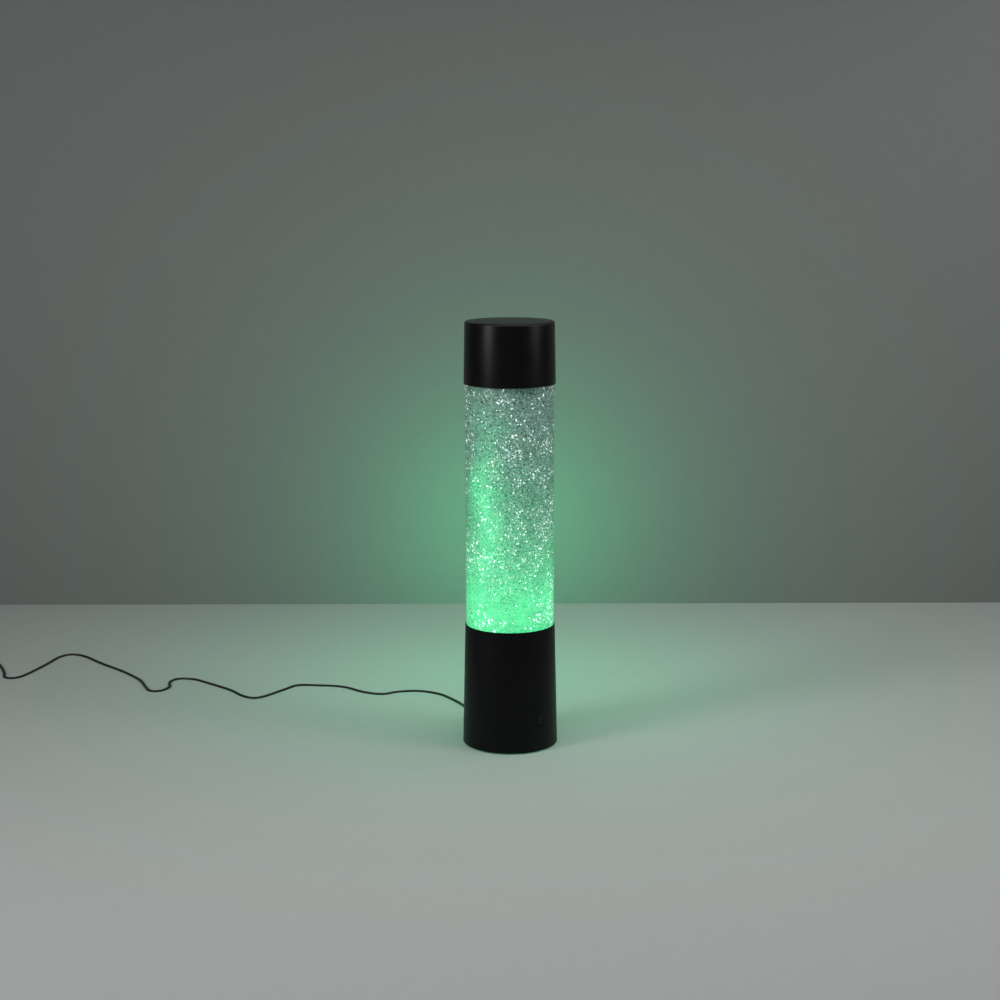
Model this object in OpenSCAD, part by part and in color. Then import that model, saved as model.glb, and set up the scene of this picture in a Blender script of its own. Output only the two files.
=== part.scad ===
// Glitter lamp: a clear tube of liquid on a tapered base, stirred and lit from below.
// The origin is on the tube's axis at the surface the lamp stands on. +Z is up and the
// push button faces -Y. The supply cord leaves the base at +Y.

/* [Overall] */
// Height from the surface it stands on to the top of the cap
total_h = 362; // [350:1:380]
// Height of the top edge of the base
base_h = 105; // [104:1:108]
// Height of the cap
cap_h = 52; // [46:1:56]

/* [Base] */
// Outer diameter of the base at its foot
base_foot_d = 81; // [81:0.5:84]
// Outer diameter of the base at its top edge
base_top_d = 76.2; // [76.2:0.1:77]
// Wall thickness of the base shell
base_wall = 2.2; // [2:0.1:2.2]

/* [Tube] */
// Outer diameter of the clear tube
tube_d = 75; // [74.6:0.1:75]
// Wall thickness of the clear tube
tube_wall = 3; // [2.8:0.1:3.2]
// Thickness of the disc that closes the tube's lower end
tube_floor_t = 5; // [4.5:0.5:5]

/* [Cap] */
// Outer diameter of the cap at its lower rim
cap_rim_d = 77; // [77:0.1:78]
// Outer diameter of the cap at its top
cap_top_d = 75.2; // [75.2:0.1:76.8]
// Wall thickness of the cap above the tube
cap_wall = 2; // [1.6:0.1:2.4]

/* [Button] */
// Diameter of the push button
button_d = 11.2; // [10:0.1:11.6]
// Height of the button's axis
button_z = 28; // [28:0.1:28.4]
// How far the button stands out from the wall at its middle
button_proud = 0.4; // [0.2:0.1:0.8]

/* [Stirrer and light] */
// Diameter of the motor's can
motor_d = 24.4; // [22:0.2:26]
// Diameter of the magnet carrier on the motor's shaft
carrier_d = 34; // [32:1:36]
// Diameter of the stirring rotor in the liquid
rotor_d = 30; // [28:1:31]
// Number of light emitters round the board
led_count = 8; // [8]

/* [Cord] */
// Width of the flat supply cord
cord_w = 2.9; // [2.7:0.1:2.9]
// Thickness of the flat supply cord
cord_t = 1.6; // [1.4:0.1:1.6]

/* [Hidden] */
$fn = 96;

fit = 0.05;            // gap of a close fit, each side
play = 0.3;            // gap round a piece that slides or turns freely
foot_gap = 1;          // height of the base's rim above the surface
foot_edge = 0.6;       // bevel at the base's rim
tube_r = tube_d / 2;
bore_r = tube_r - tube_wall;

plate_z = 1.2;         // underside of the base plate
plate_top = 4;
pad_r = 5.5;
pad_circle = 29;
pad_top = 2.2;
boss_circle = 31;      // the base plate's screws
boss_r = 3.5;
boss_top = 16;

ledge_z = 93;          // the tube stands here, on its gasket
ledge_r = 33.2;
ledge_t = 2.5;
gasket_t = 1;
tube_z = ledge_z + gasket_t;
tube_top = total_h - cap_h + 12;
floor_top = tube_z + tube_floor_t;
cap_z = total_h - cap_h;
liquid_top = cap_z - 1;
lid_z = cap_z + 3;
lid_t = 7;

hanger_circle = 33.6;  // the motor plate's screws
hanger_r = 3.2;
hanger_low = 62;
motor_plate_z = 74;
motor_plate_t = 2.5;
motor_low = 43;
shaft_r = 1;
post_circle = 26;      // the light board's posts
led_board_z = 86;
led_board_t = 1.6;
led_circle = 25;

board_z = 22.4;        // the control board
board_t = 1.6;
standoff_x = 14;
standoff_front = -23;
standoff_back = 3;
switch_front = 30;     // distances of the switch's faces in front of the axis
switch_back = 20;
flange_back = 35.3;

gland_z = 9;
gland_end = 56;
clamp_y = 25;
rest_z = gland_z - cord_t / 2;  // where the lead lies in its clamp

// Outer radius of the base at height z
function base_r(z) =
    (base_foot_d + (base_top_d - base_foot_d) * (z - foot_gap) / (base_h - foot_gap)) / 2;

// Outer radius of the cap at height z
function cap_r(z) = (cap_rim_d + (cap_top_d - cap_rim_d) * (z - cap_z) / cap_h) / 2;

function unit(v) = v / norm(v);

// Points of a round corner about [r, z], from angle a to angle b
function corner(r, z, radius, a, b, steps = 6) =
    [for (i = [0:steps]) let (u = a + (b - a) * i / steps)
        [r + radius * cos(u), z + radius * sin(u)]];

// Smooth curve through a list of points, with a number of steps from each point to the next
function spline_point(a, b, c, d, t) =
    0.5 * (2 * b + (c - a) * t + (2 * a - 5 * b + 4 * c - d) * t * t
        + (3 * b - a - 3 * c + d) * t * t * t);
function smooth(points, steps) =
    let (
        last = len(points) - 1,
        p = concat([2 * points[0] - points[1]], points, [2 * points[last] - points[last - 1]])
    )
    concat(
        [for (i = [0:last - 1], k = [0:steps - 1])
            spline_point(p[i], p[i + 1], p[i + 2], p[i + 3], k / steps)],
        [points[last]]
    );

// Tube of eight sides along a path. up is the direction of its half thickness.
module sweep(path, half_width, half_thickness, up) {
    sides = 8;
    n = len(path);
    half_step = 180 / sides;
    rings = [
        for (i = [0:n - 1])
            let (
                along = unit(path[min(i + 1, n - 1)] - path[max(i - 1, 0)]),
                across = unit(cross(along, up)),
                over = cross(across, along)
            )
            for (k = [0:sides - 1])
                let (u = half_step + k * 360 / sides)
                path[i] + (across * half_width * cos(u) + over * half_thickness * sin(u))
                    / cos(half_step)
    ];
    walls = [
        for (i = [0:n - 2], k = [0:sides - 1])
            let (a = i * sides + k, b = i * sides + (k + 1) % sides)
            [a, b, b + sides, a + sides]
    ];
    low_end = [for (k = [sides - 1:-1:0]) k];
    high_end = [for (k = [0:sides - 1]) (n - 1) * sides + k];
    polyhedron(points = rings, faces = concat(walls, [low_end, high_end]), convexity = 8);
}

module round_wire(points, radius, up) {
    sweep(smooth(points, 3), radius, radius, up);
}

// Local +Z points to the front of the lamp, at the button's height
module to_front() {
    translate([0, 0, button_z]) rotate([90, 0, 0]) children();
}

// Local +Z points to the rear of the lamp, at the gland's height
module to_rear() {
    translate([0, 0, gland_z]) rotate([-90, 0, 0]) children();
}

module on_circle(radius, count, first = 0) {
    for (i = [0:count - 1]) rotate(first + i * 360 / count) translate([radius, 0, 0]) children();
}

module at_corners(x, low_y, high_y) {
    for (sx = [-1, 1], y = [low_y, high_y]) translate([sx * x, y, 0]) children();
}

// Pan-head screw: the head's seat is at the origin, the head is above and the shank below
module screw(shank_r, length, head_r, head_h) {
    slot_w = head_r * 0.3;
    slot_l = head_r * 1.2;
    difference() {
        rotate_extrude()
            polygon(concat(
                [[0, -length], [shank_r * 0.6, -length], [shank_r, -length + shank_r * 0.6],
                    [shank_r, 0], [head_r, 0]],
                corner(head_r - head_h * 0.5, head_h * 0.5, head_h * 0.5, 0, 90),
                [[0, head_h]]
            ));
        for (turn = [0, 90])
            rotate(turn) translate([-slot_l / 2, -slot_w / 2, head_h * 0.4])
                cube([slot_l, slot_w, head_h]);
    }
}

module base_shell() {
    inner = base_wall;
    hanger_h = motor_plate_z - hanger_low;
    color("#101011") difference() {
        union() {
            rotate_extrude() polygon([
                [base_r(foot_gap) - foot_edge, foot_gap],
                [base_r(foot_gap + foot_edge), foot_gap + foot_edge],
                [base_r(base_h - 0.2), base_h - 0.2],
                [base_r(base_h) - 0.15, base_h],
                [tube_r + fit, base_h],
                [tube_r + fit, ledge_z],
                [ledge_r, ledge_z],
                [ledge_r, ledge_z - ledge_t],
                [base_r(ledge_z) - inner, ledge_z - ledge_t - (base_r(ledge_z) - inner - ledge_r)],
                [base_r(foot_gap) - inner, foot_gap]
            ]);
            on_circle(boss_circle, 4, 45) {
                translate([0, 0, plate_top]) cylinder(r = boss_r, h = boss_top - plate_top);
                translate([2, -1, plate_top]) cube([5.6, 2, boss_top - plate_top]);
            }
            on_circle(hanger_circle, 4, 45) {
                translate([0, 0, hanger_low]) cylinder(r = hanger_r, h = hanger_h);
                translate([0, -1.2, hanger_low]) cube([4, 2.4, hanger_h]);
            }
        }
        on_circle(boss_circle, 4, 45)
            translate([0, 0, plate_top - 1]) cylinder(r = 1.5, h = boss_top - plate_top);
        on_circle(hanger_circle, 4, 45)
            translate([0, 0, hanger_low + 2]) cylinder(r = 1.3, h = hanger_h);
        to_front() cylinder(d = button_d + 2 * play, h = base_foot_d);
        to_rear() cylinder(r = 3.5, h = base_foot_d);
    }
}

module base_plate() {
    pedestal = [20, 6, rest_z - plate_top];
    color("#17171a") difference() {
        union() {
            translate([0, 0, plate_z]) cylinder(r = base_r(plate_top) - base_wall - 0.2,
                h = plate_top - plate_z);
            at_corners(standoff_x, standoff_front, standoff_back)
                translate([0, 0, plate_top]) cylinder(d = 6, h = board_z - plate_top);
            translate([-pedestal.x / 2, clamp_y - pedestal.y / 2, plate_top]) cube(pedestal);
        }
        on_circle(pad_circle, 4) cylinder(r = pad_r, h = pad_top);
        on_circle(boss_circle, 4, 45) {
            cylinder(r = 1.6, h = plate_top + 1);
            cylinder(r = 3.1, h = 2.8);
        }
        at_corners(standoff_x, standoff_front, standoff_back)
            translate([0, 0, board_z - 8]) cylinder(r = 1.05, h = 9);
        for (sx = [-1, 1])
            translate([sx * 6.5, clamp_y, plate_top + 0.6]) cylinder(r = 1.05, h = 5);
    }
}

module foot_pads() {
    color("#232325") on_circle(pad_circle, 4) rotate_extrude()
        polygon(concat([[0, 0]], corner(pad_r - 0.4, 0.4, 0.4, -90, 0), [[pad_r, pad_top], [0, pad_top]]));
}

module plate_screws() {
    color("#8c8e92") on_circle(boss_circle, 4, 45)
        translate([0, 0, 2.8]) rotate([180, 0, 0]) screw(1.45, 11, 2.8, 1.4);
}

module push_button() {
    face = base_r(button_z) + button_proud;
    edge = 0.5;
    color("#1b1b1d") to_front() difference() {
        rotate_extrude() polygon(concat(
            [[0, flange_back], [6.8, flange_back], [6.8, flange_back + 1], [button_d / 2, flange_back + 1]],
            corner(button_d / 2 - edge, face - edge, edge, 0, 90),
            [[button_d / 2 - 1.4, face], [0, face - 0.35]]
        ));
        translate([-1.5 - fit, -1.5 - fit, flange_back - 1]) cube([3 + 2 * fit, 3 + 2 * fit, 3]);
    }
}

module switch_plunger() {
    color("#e8e4da") to_front()
        translate([-1.5, -1.5, switch_front - 6.5]) cube([3, 3, flange_back + 2 - switch_front + 6.5]);
}

module switch_spring() {
    turns = 4;
    wire_r = 0.28;
    coil_r = 3;
    low = switch_front + wire_r + 0.1;
    high = flange_back - wire_r - 0.1;
    path = [
        for (i = [0:turns * 14])
            let (u = i * 360 / 14)
            [coil_r * cos(u), coil_r * sin(u), low + (high - low) * i / (turns * 14)]
    ];
    color("#b9bcc0") to_front() sweep(path, wire_r, wire_r, [0, 0, 1]);
}

module switch_housing() {
    depth = switch_front - switch_back;
    color("#2a2b2e") to_front() difference() {
        translate([-4, board_z + board_t - button_z, switch_back])
            cube([8, 8, depth]);
        translate([-1.5 - play, -1.5 - play, switch_back + 1.6])
            cube([3 + 2 * play, 3 + 2 * play, depth]);
    }
}

module control_board() {
    color("#1f5c3a") difference() {
        translate([-20, -30, board_z]) cube([40, 38, board_t]);
        at_corners(standoff_x, standoff_front, standoff_back)
            translate([0, 0, board_z - 1]) cylinder(r = 1.3, h = board_t + 2);
    }
}

module board_parts() {
    top = board_z + board_t;
    color("#d9d4c8") translate([-9, -9, top]) cylinder(d = 6.3, h = 8);
    color("#2b2b2e") translate([2, -13, top]) cube([5, 4, 1.6]);
    color("#3a3530") translate([8, -6, top]) cylinder(d = 5, h = 3);
    color("#c8b28a") for (i = [0:4]) translate([-3 + i * 2.6, -4.5, top]) cube([1.2, 2, 0.5]);
}

module board_connectors() {
    top = board_z + board_t;
    color("#e9e6dc") {
        translate([-4, 1, top]) cube([8, 7, 6]);
        for (x = [-9.5, 6.5]) translate([x, 0.5, top]) cube([3, 6, 6]);
    }
}

module board_screws() {
    color("#8c8e92") at_corners(standoff_x, standoff_front, standoff_back)
        translate([0, 0, board_z + board_t]) screw(1, 7, 2, 1.4);
}

module motor_plate() {
    top = motor_plate_z + motor_plate_t;
    color("#e4e3de") difference() {
        union() {
            translate([0, 0, motor_plate_z])
                cylinder(r = base_r(top) - base_wall - 0.4, h = motor_plate_t);
            on_circle(post_circle, 4)
                translate([0, 0, top]) cylinder(d = 5, h = led_board_z - top);
        }
        translate([0, 0, motor_plate_z - 1]) {
            cylinder(r = 3.1, h = motor_plate_t + 2);
            on_circle(8, 2) cylinder(r = 1.4, h = motor_plate_t + 2);
            on_circle(hanger_circle, 4, 45) cylinder(r = 1.4, h = motor_plate_t + 2);
            translate([27, 16, 0]) cylinder(r = 2.4, h = motor_plate_t + 2);
        }
        on_circle(post_circle, 4) translate([0, 0, led_board_z - 7]) cylinder(r = 0.95, h = 8);
    }
}

module motor_plate_screws() {
    color("#8c8e92") on_circle(hanger_circle, 4, 45)
        translate([0, 0, motor_plate_z + motor_plate_t]) screw(1.25, 9, 2.3, 1.6);
}

module motor_can() {
    color("#b4b7bb") difference() {
        union() {
            rotate_extrude() polygon(concat(
                [[0, motor_low]],
                corner(motor_d / 2 - 1, motor_low + 1, 1, -90, 0),
                corner(motor_d / 2 - 1, motor_plate_z - 1, 1, 0, 90),
                [[3, motor_plate_z], [3, motor_plate_z + 2], [0, motor_plate_z + 2]]
            ));
            translate([0, 0, motor_low - 2]) cylinder(r = 3, h = 3);
            for (sx = [-1, 1])
                translate([sx * 7.5 - 0.25, -1, motor_low - 2.5]) cube([0.5, 2, 3]);
        }
        translate([0, 0, motor_low - 1]) cylinder(r = shaft_r + fit, h = 40);
        on_circle(8, 2) translate([0, 0, motor_plate_z - 4]) cylinder(r = 1.3, h = 5);
    }
}

module motor_screws() {
    color("#8c8e92") on_circle(8, 2)
        translate([0, 0, motor_plate_z + motor_plate_t]) screw(1.25, 5.5, 2.2, 1.4);
}

module motor_shaft() {
    color("#c9ccd0") translate([0, 0, motor_low]) cylinder(r = shaft_r, h = led_board_z + 3 - motor_low);
}

module magnet_carrier() {
    color("#dcdad4") difference() {
        rotate_extrude() polygon([
            [shaft_r, led_board_z - 5.5], [4, led_board_z - 5.5], [4, led_board_z - 0.5],
            [carrier_d / 2, led_board_z - 0.5], [carrier_d / 2, led_board_z + 5],
            [shaft_r, led_board_z + 5]
        ]);
        on_circle(10, 2) translate([0, 0, led_board_z + 1]) cylinder(r = 5, h = 5);
    }
}

module drive_magnets() {
    color("#9fa2a6") on_circle(10, 2)
        translate([0, 0, led_board_z + 1]) cylinder(r = 5 - fit, h = 4);
}

module led_board() {
    color("#f0f0ec") difference() {
        translate([0, 0, led_board_z]) cylinder(r = 31.5, h = led_board_t);
        translate([0, 0, led_board_z - 1]) {
            cylinder(r = carrier_d / 2 + 2.5, h = led_board_t + 2);
            on_circle(post_circle, 4) cylinder(r = 1.1, h = led_board_t + 2);
        }
    }
}

module led_emitters() {
    color("#d8f7de") on_circle(led_circle, led_count, 22.5)
        translate([-2.5, -2.5, led_board_z + led_board_t]) difference() {
            cube([5, 5, 1.6]);
            translate([2.5, 2.5, 1.1]) cylinder(d = 4, h = 1);
        }
}

module led_board_screws() {
    color("#8c8e92") on_circle(post_circle, 4)
        translate([0, 0, led_board_z + led_board_t]) screw(0.9, 7, 1.9, 1.3);
}

module light_reflector() {
    low = led_board_z + led_board_t;
    color("#f4f4f0") rotate_extrude() polygon([
        [30, low], [31.2, low], [ledge_r - 0.4, ledge_z - 0.4], [ledge_r - 1.4, ledge_z - 0.4]
    ]);
}

module tube_gasket() {
    color("#3b3b3e") translate([0, 0, ledge_z]) difference() {
        cylinder(r = tube_r - 0.4, h = gasket_t);
        translate([0, 0, -1]) cylinder(r = bore_r + 0.2, h = gasket_t + 2);
    }
}

module clear_tube() {
    color("#c8f5dd", 0.35) rotate_extrude() polygon([
        [bore_r, tube_z], [tube_r, tube_z], [tube_r, tube_top - 0.4], [tube_r - 0.4, tube_top],
        [bore_r + 0.4, tube_top], [bore_r, tube_top - 0.4]
    ]);
}

module tube_floor() {
    color("#d5f7e4", 0.5) difference() {
        translate([0, 0, tube_z]) cylinder(r = bore_r - fit, h = tube_floor_t);
        translate([0, 0, tube_z + 2]) cylinder(r = 1.5, h = tube_floor_t);
    }
}

module pivot_pin() {
    color("#c9ccd0") rotate_extrude() polygon([
        [0, tube_z + 2], [1.5, tube_z + 2], [1.5, floor_top + 6.4], [2.4, floor_top + 6.4],
        [2.4, floor_top + 7], [1.8, floor_top + 7.6], [0, floor_top + 7.6]
    ]);
}

module stirring_rotor() {
    low = floor_top + 0.6;
    color("#f2f2ee") difference() {
        union() {
            translate([0, 0, low]) cylinder(d = rotor_d, h = 3);
            translate([0, 0, low]) cylinder(r = 4.5, h = 5.4);
            for (turn = [60, 120, 240, 300])
                rotate(turn) translate([4, -0.8, low + 2]) cube([9.5, 1.6, 3.2]);
        }
        translate([0, 0, low - 1]) cylinder(r = 1.5 + fit, h = 8);
        on_circle(9.5, 2) translate([0, 0, low + 0.6]) cylinder(r = 4, h = 5);
    }
}

module rotor_magnets() {
    color("#9fa2a6") on_circle(9.5, 2)
        translate([0, 0, floor_top + 1.2]) cylinder(r = 4 - fit, h = 2.4);
}

module liquid() {
    color("#56e89b", 0.55) difference() {
        translate([0, 0, floor_top]) cylinder(r = bore_r - fit, h = liquid_top - floor_top);
        translate([0, 0, floor_top - 1]) cylinder(r = rotor_d / 2 + 1.5, h = 9.5);
    }
}

module tube_lid() {
    groove_low = lid_z + 2.3;
    color("#222326") difference() {
        rotate_extrude() polygon([
            [4, lid_z], [bore_r - 0.1, lid_z], [bore_r - 0.1, groove_low], [bore_r - 1.8, groove_low],
            [bore_r - 1.8, groove_low + 2.4], [bore_r - 0.1, groove_low + 2.4],
            [bore_r - 0.1, lid_z + lid_t], [4, lid_z + lid_t]
        ]);
        for (turn = [0:60:300])
            rotate(turn) translate([20, 0, lid_z + lid_t - 3]) cylinder(r = 6, h = 4);
    }
}

module lid_seal() {
    color("#4a2a22") translate([0, 0, lid_z + 3.5])
        rotate_extrude() translate([bore_r - 0.95, 0]) circle(r = 0.85, $fn = 32);
}

module filler_plug() {
    top = lid_z + lid_t;
    color("#3b3b3e") rotate_extrude() polygon([
        [0, lid_z], [3.4, lid_z], [4 - fit, lid_z + 0.8], [4 - fit, top], [6, top],
        [6, top + 1], [5.4, top + 1.6], [0, top + 1.6]
    ]);
}

module top_cap() {
    edge = 2;
    hollow_r = tube_r - cap_wall;
    color("#141415") rotate_extrude() polygon(concat(
        [[tube_r + 2 * fit, cap_z], [cap_r(cap_z) - 0.3, cap_z], [cap_r(cap_z), cap_z + 0.3]],
        corner(cap_r(total_h) - edge, total_h - edge, edge, 0, 90),
        [[0, total_h], [0, total_h - cap_wall], [hollow_r - 1, total_h - cap_wall],
            [hollow_r, total_h - cap_wall - 1], [hollow_r, tube_top], [tube_r + 2 * fit, tube_top]]
    ));
}

module motor_wires() {
    top = board_z + board_t + 6;
    color("#b5332c") round_wire([
        [-8, 2.5, top], [-8, 2.5, top + 4], [-8.5, 1, top + 7], [-8.5, 0, motor_low - 1]
    ], 0.6, [1, 0, 0]);
    color("#1c1c1e") round_wire([
        [-8, 4.5, top], [-7, 5, top + 4], [-2, 5, top + 8], [5, 4, top + 8],
        [8.5, 2, top + 9], [8.5, 0, motor_low - 1]
    ], 0.6, [0, 1, 0]);
}

module led_wires() {
    top = board_z + board_t + 6;
    color("#e0b93a") for (side = [-0.75, 0.75]) round_wire([
        [8, 3.5 + side, top], [9, 4.5 + side, top + 5], [17, 10 + side, top + 14],
        [25, 15 + side, top + 28], [27, 16 + side, 66], [27, 16 + side, 76],
        [25.5, 15 + side, 82], [24.5, 14.5 + side, led_board_z]
    ], 0.6, [1, 0, 0]);
}

module inner_lead() {
    color("#19191b") sweep(smooth([
        [0, 35.4, gland_z], [0, 28, gland_z], [0, 21, gland_z], [0, 15, 11], [0, 12.5, 17],
        [0, 12.5, 23], [0, 11.5, 26.5], [0, 8, 28]
    ], 2), cord_t / 2, cord_w / 2, [1, 0, 0]);
}

module cord_clamp() {
    bar = [20, 6, 4];
    color("#2c2c30") difference() {
        translate([-bar.x / 2, clamp_y - bar.y / 2, rest_z]) cube(bar);
        translate([-cord_w / 2 - 0.1, clamp_y - bar.y, rest_z - 1]) cube([cord_w + 0.2, 2 * bar.y, 1 + cord_t]);
        for (sx = [-1, 1]) translate([sx * 6.5, clamp_y, rest_z - 1]) cylinder(r = 1.2, h = bar.z + 2);
    }
}

module clamp_screws() {
    color("#8c8e92") for (sx = [-1, 1])
        translate([sx * 6.5, clamp_y, rest_z + 4]) screw(1, 7, 2, 1.4);
}

module cord_gland() {
    wall = base_r(gland_z);
    color("#1d1d1f") to_rear() rotate_extrude() polygon([
        [0, wall - 4.9], [4.6, wall - 4.9], [5, wall - 4.5], [5, wall - 3], [3.45, wall - 3],
        [3.45, wall + 0.1], [4.3, wall + 0.1], [4.3, wall + 1.6], [3.4, wall + 3],
        [2.2, gland_end - 0.4], [1.9, gland_end], [0, gland_end]
    ]);
}

// The supply cord's route from the gland to the coil, along the surface
cord_route = [
    [0, 56, 9], [2, 62, 8], [9, 70, 4], [20, 78, 1.6], [29, 89, 1], [35, 104, 0.9],
    [40, 125, 0.9], [42, 148, 0.9], [34, 168, 0.9], [18, 179, 0.9], [2, 183, 0.9],
    [-7, 200, 0.9], [-11, 227, 0.9], [-26, 247, 0.9], [-40, 260, 0.9], [-56, 257, 0.9],
    [-90, 250, 0.9], [-99, 262, 0.9], [-97, 290, 0.9], [-100, 325, 0.9], [-103, 344, 0.9],
    [-113, 355, 0.9], [-125, 351, 0.9], [-135, 336, 0.9], [-148, 331, 0.9], [-155, 338, 0.9],
    [-151, 353, 0.9], [-143, 378, 0.9], [-140, 415, 0.9], [-141, 455, 0.9], [-140, 488, 0.9],
    [-146, 504, 0.9], [-160, 504, 0.9], [-183, 488, 0.9], [-211, 470, 0.9], [-228, 463, 0.9],
    [-236, 471, 0.9], [-228, 490, 0.9], [-219, 518, 0.9], [-213, 550, 0.9]
];
coil_place = [-230.4, 550, 0];
turn_gap = 3;                       // between turns side by side
turn_rise = 1.7;                    // between turns on each other
coil_layers = 3;
inner_turn = 14.4;
coil_in = inner_turn - cord_w / 2 - 0.05;
coil_out = inner_turn + turn_gap + cord_w / 2 + 0.05;
coil_h = coil_layers * turn_rise + 0.1;
tie_t = 0.5;
tie_w = 4;
tie_turn = 120;
tail_route = [
    [-247.8, 550, 4.2], [-249, 540, 4.2], [-253, 530, 4], [-256, 520, 4]
];
plug_place = [-256, 520, 4];        // where the cord enters the plug
grip = [16, 26, 8];
plug_case = [12, 12, 4.5];

module supply_cord() {
    color("#19191b") sweep(smooth(cord_route, 2), cord_w / 2, cord_t / 2, [0, 0, 1]);
}

module tie_band(clear) {
    length = coil_out - coil_in + 2 * tie_t;
    rotate(tie_turn) translate([coil_in - tie_t, -tie_w / 2, 0]) difference() {
        cube([length, tie_w, coil_h + tie_t + clear]);
        translate([2 * tie_t, -1, tie_t])
            cube([length - 4 * tie_t, tie_w + 2, coil_h - tie_t]);
    }
}

module cord_coil() {
    color("#1c1c1e") translate(coil_place) difference() {
        rotate_extrude() polygon([
            [coil_in, 0], [coil_out, 0], [coil_out, coil_h], [coil_in, coil_h]
        ]);
        tie_band(1);
    }
}

module cord_tie() {
    color("#222225") translate(coil_place) tie_band(0);
}

module cord_tail() {
    color("#19191b") sweep(smooth(tail_route, 3), cord_w / 2, cord_t / 2, [0, 0, 1]);
}

module at_plug() {
    translate(plug_place) rotate([90, 0, 0]) children();
}

module plug_grip() {
    taper = 8;
    color("#1b1b1d") difference() {
        at_plug() hull() {
            translate([-4, -2.2, 0]) cube([8, 4.4, 1]);
            for (sx = [-1, 1], sy = [-1, 1], z = [taper, grip.y - 0.5])
                translate([sx * (grip.x / 2 - 2), sy * (grip.z / 2 - 2), z])
                    cylinder(r = 2, h = 0.5, $fn = 32);
        }
        at_plug() translate([-plug_case.x / 2, -plug_case.z / 2, grip.y - 6])
            cube([plug_case.x, plug_case.z, 8]);
    }
}

module plug_shell() {
    wall = 0.3;
    color("#c7cacf") at_plug() translate([0, 0, grip.y - 6]) difference() {
        translate([-plug_case.x / 2, -plug_case.z / 2, 0]) cube([plug_case.x, plug_case.z, plug_case.y + 6]);
        translate([-plug_case.x / 2 + wall, -plug_case.z / 2 + wall, 1])
            cube([plug_case.x - 2 * wall, plug_case.z - 2 * wall, plug_case.y + 6]);
        for (sx = [-1, 1]) translate([sx * 3 - 1.25, -5, 11]) cube([2.5, 10, 2.5]);
    }
}

module plug_tongue() {
    color("#ecebe6") at_plug() translate([-5.7, -1.95, grip.y - 5]) cube([11.4, 1.9, plug_case.y + 4.5]);
}

module plug_contacts() {
    color("#c9a548") at_plug() for (i = [-1.5:1:1.5])
        translate([i * 2.4 - 0.5, -0.05, grip.y + 2]) cube([1, 0.15, plug_case.y - 3.5]);
}

base_shell();
base_plate();
foot_pads();
plate_screws();
push_button();
switch_plunger();
switch_spring();
switch_housing();
control_board();
board_parts();
board_connectors();
board_screws();
motor_plate();
motor_plate_screws();
motor_can();
motor_screws();
motor_shaft();
magnet_carrier();
drive_magnets();
led_board();
led_emitters();
led_board_screws();
light_reflector();
tube_gasket();
clear_tube();
tube_floor();
pivot_pin();
stirring_rotor();
rotor_magnets();
liquid();
tube_lid();
lid_seal();
filler_plug();
top_cap();
motor_wires();
led_wires();
inner_lead();
cord_clamp();
clamp_screws();
cord_gland();
supply_cord();
cord_coil();
cord_tie();
cord_tail();
plug_grip();
plug_shell();
plug_tongue();
plug_contacts();
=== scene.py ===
"""Glitter lamp: the looks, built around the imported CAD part.

Lengths are in metres. The origin is on the tube's axis at the surface the lamp stands on,
+Z is up, the push button faces -Y and the supply cord leaves the base at +Y.
"""

import math

import bmesh
import bpy
import numpy as np
from mathutils import Matrix, Vector


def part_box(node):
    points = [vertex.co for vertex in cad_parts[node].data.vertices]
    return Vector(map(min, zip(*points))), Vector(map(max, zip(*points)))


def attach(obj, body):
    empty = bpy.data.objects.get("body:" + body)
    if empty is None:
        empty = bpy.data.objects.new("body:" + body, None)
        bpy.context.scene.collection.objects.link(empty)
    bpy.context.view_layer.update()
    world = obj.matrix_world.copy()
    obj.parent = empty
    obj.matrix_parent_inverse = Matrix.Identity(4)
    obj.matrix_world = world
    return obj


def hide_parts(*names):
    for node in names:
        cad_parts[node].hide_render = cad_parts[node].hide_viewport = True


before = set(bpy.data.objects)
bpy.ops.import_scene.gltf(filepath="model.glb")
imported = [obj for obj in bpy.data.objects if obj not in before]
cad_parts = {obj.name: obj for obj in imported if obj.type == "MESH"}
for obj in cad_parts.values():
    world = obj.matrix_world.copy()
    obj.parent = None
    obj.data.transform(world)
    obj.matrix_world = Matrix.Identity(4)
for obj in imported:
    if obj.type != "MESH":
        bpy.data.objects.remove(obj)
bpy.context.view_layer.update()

bl_info = {
    "name": "Glitter lamp",
    "version": (1, 0, 0),
    "blender": (4, 5, 0),
    "location": "3D View > Sidebar > Lamp",
    "description": "Builds the visible pieces, finishes and studio of a glitter lamp",
    "category": "Object",
}

MM = 0.001

# Heights and radii that the pieces share with the CAD part, from its frame
TOTAL_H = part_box("top_cap")[1].z
CAP_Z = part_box("top_cap")[0].z
BASE_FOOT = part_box("base_shell")[0].z
BASE_FOOT_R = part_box("base_shell")[1].x
BASE_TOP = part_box("base_shell")[1].z
TUBE_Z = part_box("clear_tube")[0].z
TUBE_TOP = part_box("clear_tube")[1].z
TUBE_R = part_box("clear_tube")[1].x
LIQUID_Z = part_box("liquid")[0].z
LIQUID_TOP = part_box("liquid")[1].z
PIN_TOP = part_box("pivot_pin")[1].z
POCKET_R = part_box("stirring_rotor")[1].x + 1.5 * MM
FOOT_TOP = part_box("foot_pads")[1].z

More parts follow.
